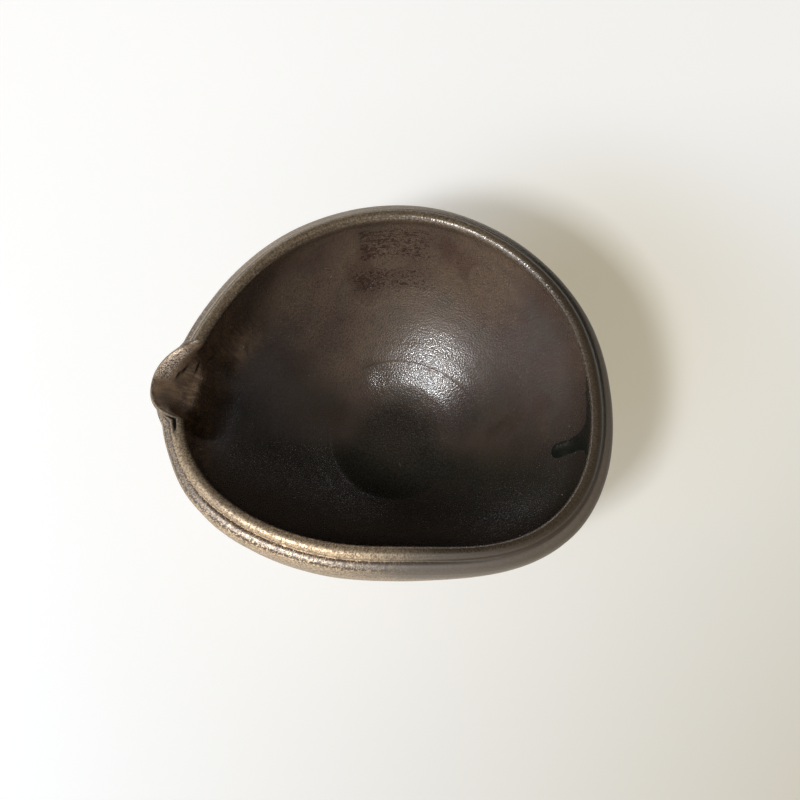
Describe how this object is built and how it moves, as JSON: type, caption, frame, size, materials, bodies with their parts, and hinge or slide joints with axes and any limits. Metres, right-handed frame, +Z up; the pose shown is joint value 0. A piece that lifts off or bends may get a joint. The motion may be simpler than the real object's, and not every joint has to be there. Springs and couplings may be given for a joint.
{
  "type": "katakuchi sake pourer",
  "caption": "Squeezed stoneware pouring bowl with a pulled spout, a rounded band below the lip, a bronze glaze and a bare foot ring; holds and pours sake.",
  "frame": {"origin": "centre of the foot ring's resting face, on the throwing axis", "axes": "+Z up the throwing axis, -X towards the pouring lip, +Y towards the far side of the picture"},
  "size_m": [0.1341, 0.1137, 0.066],
  "materials": {
    "clay": "bare dark stoneware",
    "inner_glaze": "satin brown-black glaze",
    "outer_glaze": "satin bronze glaze",
    "black_glaze": "gloss black glaze"
  },
  "bodies": {
    "root": {"bowl_body": "clay", "foot_ring": "clay", "rim_band": "clay", "pouring_lip": "clay", "inner_glaze": "inner_glaze", "outer_glaze": "outer_glaze", "glaze_run": "black_glaze"}
  },
  "joints": []
}
